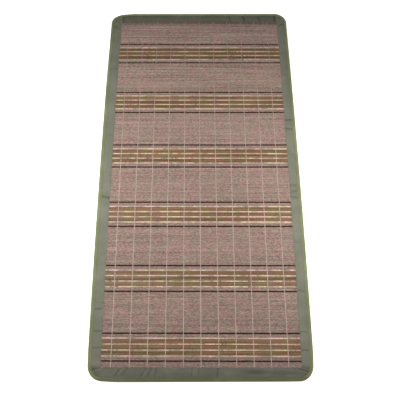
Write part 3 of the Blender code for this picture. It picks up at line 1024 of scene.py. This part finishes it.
def cloth_top(side, place, depth, y):
    """Height of a strip's upper face above the floor."""
    width = BORDER[side]
    resting = panel_top_at(y) + lift_at(depth) + CLOTH + 0.0001
    share = np.clip((depth - STEP_START) / (STEP_END - STEP_START), 0.0, 1.0)
    step = share * share * (3 - 2 * share)
    height = (RIM_RADIUS + RIM_CLOTH) * (1 - step) + resting * step
    across = np.clip((depth - STEP_END) / (width - STEP_END), 0.0, 1.0)
    body = np.sin(np.pi * across) ** 0.7
    start = NOISE_START[side]
    slow = soft_noise(place * 9.0, depth * 30.0, start)
    gathers = soft_noise(place * 70.0, depth * 25.0, start + 5.0)
    near_seam = np.exp(-(((depth - (width - SEAM_INSET)) / 0.010) ** 2))
    near_tape = np.exp(-(((depth - STEP_END) / 0.008) ** 2))
    height = height + body * (PUFF * (0.75 + 0.5 * slow))
    height = height + step * gathers * 0.00030 * (near_seam + near_tape)
    height = height - SEAM_DIP * np.exp(-(((depth - (width - SEAM_INSET)) / 0.0014) ** 2))
    folded = fold_heights(side, place, depth) * step
    return height + folded, folded + gathers * 0.0002 * (near_seam + near_tape) * step


print("cloth rises from", (RIM_RADIUS + RIM_CLOTH) * 1000, "mm at the tape")

# %% [markdown]
# ## Folding the strips
#
# A strip is one closed sheet about a millimetre thick. Its section goes over the top, round a tight
# bend inside the tape, and back underneath for three centimetres. The section is swept along the
# run. The inner edge is a turned hem, so it is rounded.

# %% The four border strips
BEND_STEPS = 8
HEM = 0.0004


def bend(radius, steps, first, last):
    """Arc round the rim: depths and heights from one angle to another, in degrees."""
    angle = np.radians(np.linspace(first, last, steps + 1))
    return RIM_RADIUS - radius * np.cos(angle), RIM_RADIUS + radius * np.sin(angle)


def plan_points(run, depth):
    """Places in the plan, for each station and depth."""
    width = BORDER[run["side"]]
    straight = run["outer"][:, None] + run["inward"][:, None] * depth[..., None]
    turned = run["outer"] + run["inward"] * UNDER_WIDTH
    share = np.clip((depth - UNDER_WIDTH) / (width - UNDER_WIDTH), 0.0, 1.0)[..., None]
    beyond = turned[:, None] * (1 - share) + run["inner"][:, None] * share
    return np.where(depth[..., None] <= UNDER_WIDTH, straight, beyond)


def upper_face(run, depths):
    """Lying points of a strip's upper face, and how folded they are."""
    depth = np.broadcast_to(depths, (len(run["place"]), len(depths)))
    plan = plan_points(run, depth)
    place = np.broadcast_to(run["place"][:, None], depth.shape)
    height, folded = cloth_top(run["side"], place, depth, plan[..., 1])
    return np.concatenate([plan, height[..., None]], axis=-1), folded


def strip_bars(run):
    """The whole closed section at each station, and the fold mark at each point."""
    width = BORDER[run["side"]]
    over = np.concatenate([
        [width - HEM],
        np.linspace(width - 2 * HEM, STEP_END, 22),
        np.linspace(STEP_END, STEP_START, 5)[1:],
    ])
    top, folded = upper_face(run, over)
    inside = top[:, ::-1].copy()
    inside[..., 2] -= CLOTH
    edge = (top[:, :1] + inside[:, -1:]) / 2
    edge[..., :2] = plan_points(run, np.full((len(top), 1), width))
    low = RIM_RADIUS - RIM_CLOTH
    under = [(STEP_START, low), (STEP_END - 0.0015, 0.0), (0.024, 0.0), (UNDER_WIDTH - HEM, 0.0)]
    tail = [(UNDER_WIDTH, CLOTH / 2)]
    back = [(depth, height + CLOTH) for depth, height in reversed(under)]
    outer_bend = list(zip(*bend(RIM_CLOTH, BEND_STEPS, 90, -90)))
    inner_bend = list(zip(*bend(RIM_CLOTH - CLOTH, BEND_STEPS // 2, -90, 90)))
    rest = np.array(outer_bend + under + tail + back + inner_bend)
    depth = np.broadcast_to(rest[:, 0], (len(top), len(rest)))
    height = np.broadcast_to(rest[:, 1], depth.shape)
    folded_under = np.concatenate([plan_points(run, depth), height[..., None]], axis=-1)
    points = np.concatenate([edge, top, folded_under, inside], axis=1)
    # The fold mark: the cloth finish paints shade into troughs and highlight onto ridges.
    mark = np.zeros(points.shape[:2])
    mark[:, 1 : 1 + len(over)] = np.clip(-folded / 0.0009, -1.0, 1.0)
    return lie(points)[None], mark[None]


for side, run in runs.items():
    points, mark = strip_bars(run)
    finish = cloth_finishes.get(side, cloth_finishes["side"])
    new_piece(f"border_{side}", points, finish, {"fold": mark})
    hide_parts(f"binding_{side}")

# %% [markdown]
# ## Edge tape
#
# The tape is folded round the rim and sewn through. Its section is a narrow letter C, swept round
# the whole outline as one loop. Round the corners its inner edges have too much length, so they
# ripple there.

# %% Edge tape
TAPE_TOP = 0.0130
TAPE_UNDER = 0.0110
CORNER_RIPPLE = 0.0004
SIDE_RIPPLE = 0.00018


def outline_run():
    """The outline as a loop: points, directions inwards, distance travelled and how much of a
    corner each point is."""
    corner = np.linspace(0.0, np.pi / 2, 29)
    long_side = np.linspace(CORNER_Y, -CORNER_Y, steps_over(2 * CORNER_Y) * 3 // 4)[1:-1]
    short_side = np.linspace(CORNER_X, -CORNER_X, steps_over(2 * CORNER_X) * 3 // 4)[1:-1]
    outer, inward, turning = [], [], []
    for quarter, (sign_x, sign_y) in enumerate(((1, 1), (-1, 1), (-1, -1), (1, -1))):
        angle = corner + quarter * np.pi / 2
        away = np.stack([np.cos(angle), np.sin(angle)], axis=-1)
        outer.append(np.array([sign_x * CORNER_X, sign_y * CORNER_Y]) + CORNER_RADIUS * away)
        inward.append(-away)
        turning.append(np.sin(corner * 2))
        straight = (short_side, long_side, -short_side, -long_side)[quarter]
        level = np.full_like(straight, (LENGTH / 2, -WIDTH / 2, -LENGTH / 2, WIDTH / 2)[quarter])
        outer.append(np.stack([straight, level] if quarter % 2 == 0 else [level, straight], axis=-1))
        inward.append(np.broadcast_to(-away[-1], (len(straight), 2)))
        turning.append(np.zeros(len(straight)))
    outer = np.concatenate(outer)
    steps = np.linalg.norm(np.diff(outer, axis=0, append=outer[:1]), axis=1)
    return outer, np.concatenate(inward), np.cumsum(steps) - steps, np.concatenate(turning), steps.sum()


def tape_ripple(travelled, turning, depth, start):
    """Height that the gathered cloth adds, more at the tape's edges and round the corners."""
    quick = soft_noise(travelled * 110.0, depth * 30.0, start)
    slow = soft_noise(travelled * 28.0, depth * 20.0, start + 9.0)
    at_edge = np.clip((depth - RIM_RADIUS) / (TAPE_TOP - RIM_RADIUS), 0.0, 1.0)
    return at_edge * (CORNER_RIPPLE * turning * quick + SIDE_RIPPLE * slow)


def tape_top(travelled, turning, depth):
    """Height of the tape's upper face. It slopes down to lie on the border cloth."""
    slope = 0.00025 * np.clip((depth - RIM_RADIUS) / (TAPE_TOP - RIM_RADIUS), 0.0, 1.0)
    return RIM_HEIGHT - slope + tape_ripple(travelled, turning, depth, 61.0)


outer, inward, travelled, turning, rim_length = outline_run()
over = np.concatenate([[TAPE_TOP - HEM], np.linspace(TAPE_TOP - 2 * HEM, RIM_RADIUS, 9)[:-1]])
grid = np.broadcast_to(over, (len(outer), len(over)))
top_height = tape_top(*np.broadcast_arrays(travelled[:, None], turning[:, None], grid))
under = [(TAPE_UNDER - 2 * HEM, 0.0), (TAPE_UNDER, CLOTH / 2), (TAPE_UNDER - 2 * HEM, CLOTH)]
around = list(zip(*bend(RIM_RADIUS, 12, 90, -90))) + under + list(zip(*bend(RIM_RADIUS - CLOTH, 6, -90, 90)))
around = np.array(around)
depths = np.concatenate([[TAPE_TOP], over, around[:, 0], over[::-1]])
heights = np.concatenate([
    top_height[:, :1] - CLOTH / 2,
    top_height,
    np.broadcast_to(around[:, 1], (len(outer), len(around))),
    top_height[:, ::-1] - CLOTH,
], axis=1)
plan = outer[:, None] + inward[:, None] * depths[:, None]
points = lie(np.concatenate([plan, heights[..., None]], axis=-1))
# The dent mark: the tape finish paints shade into dents and highlight onto raised ripples.
dents = np.zeros(heights.shape)
dents[:, 1 : 1 + len(over)] = np.clip((RIM_HEIGHT - 0.0001 - top_height) / 0.0006, -1.0, 1.0)
tape = new_piece("rim_tape", points[None], tape_finish, {"fold": dents[None]}, looped=True)
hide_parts("edge_tape")
print("rim is", round(rim_length, 3), "m round")

# %% [markdown]
# ## Machine stitches
#
# A row of stitches holds each strip along its inner edge, and another holds the tape. A stitch is a
# short bar that sinks into the cloth at both ends. Each row takes a path on the upper face, divides
# it into equal steps and puts a bar in each, so the stitches follow the puckers.

# %% Stitches
STITCH_PITCH = 0.0036
STITCH_LENGTH = 0.0028
STITCH_RADIUS = 0.00032
STITCH_SIDES = 5
PLY_BRIGHT = 1.35
TAPE_SEAM = 0.0022  # from the tape's inner edge to its row of stitches


def stitch_finish(name, colour):
    finish = Finish(name, roughness=0.7)
    x, y, _ = finish.place()
    ply = ((x * 4000.0 + y * 4300.0).wave() + 1.0) * 0.5
    base = finish.mix(ply, colour, opaque(*(value * PLY_BRIGHT for value in colour[:3])))
    finish.paint(finish.brighten(base, finish.blur(x * 40.0, y * 40.0, 0.0) * 0.5 + 0.75))
    finish.emboss(ply, 0.00004)
    return finish


def stitch_row(path):
    """Bars along a path of lying points: an array of stitches, three stations and their sections."""
    steps = np.linalg.norm(np.diff(path, axis=0), axis=1)
    reached = np.concatenate([[0.0], np.cumsum(steps)])
    starts = np.arange(STITCH_PITCH, reached[-1] - STITCH_PITCH, STITCH_PITCH)
    share = np.array([0.0, 0.5, 1.0])
    at = starts[:, None] + share * STITCH_LENGTH
    centre = np.stack([np.interp(at, reached, path[:, axis]) for axis in range(3)], axis=-1)
    along = centre[:, -1] - centre[:, 0]
    across = np.stack([-along[:, 1], along[:, 0], np.zeros(len(along))], axis=-1)
    across /= np.linalg.norm(across, axis=1, keepdims=True)
    size = STITCH_RADIUS * np.array([0.55, 1.0, 0.55])
    centre[..., 2] += np.array([-0.00018, 0.00008, -0.00018])
    angle = np.linspace(0.0, 2 * np.pi, STITCH_SIDES, endpoint=False)
    sideways = np.cos(angle) * size[:, None]
    upwards = np.sin(angle) * size[:, None]
    points = centre[:, :, None] + across[:, None, None] * sideways[..., None]
    points[..., 2] += upwards
    return points


cloth_stitches = stitch_finish("stitches_green", opaque(0.19, 0.20, 0.14))
tape_stitches = stitch_finish("stitches_olive", opaque(0.20, 0.23, 0.09))
for side, run in runs.items():
    path, _ = upper_face(run, np.array([BORDER[side] - SEAM_INSET]))
    row = stitch_row(lie(path[:, 0]))
    new_piece(f"stitches_{side}", row, cloth_stitches)

depth = np.full(len(outer), TAPE_TOP - TAPE_SEAM)
height = tape_top(travelled, turning, depth)
path = np.concatenate([outer + inward * depth[:, None], height[:, None]], axis=1)
path = lie(np.concatenate([path, path[:1]]))
new_piece("stitches_tape", stitch_row(path), tape_stitches)

# %% [markdown]
# ## Cloth cut flat
#
# The four strips and the tape are sheets that were cut flat: a part on top, the bend and a part
# underneath.

# %% [markdown]
# ## Sizes of the solids and the dressed mat
#
# The dressed mat has to keep the size of the solids, so both boxes are printed.

# %% Sizes and finish
boxes = {"cad": cad_box, "visual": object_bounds()}
for name, box in boxes.items():
    print(name, [round(value, 4) for corner in box for value in corner])
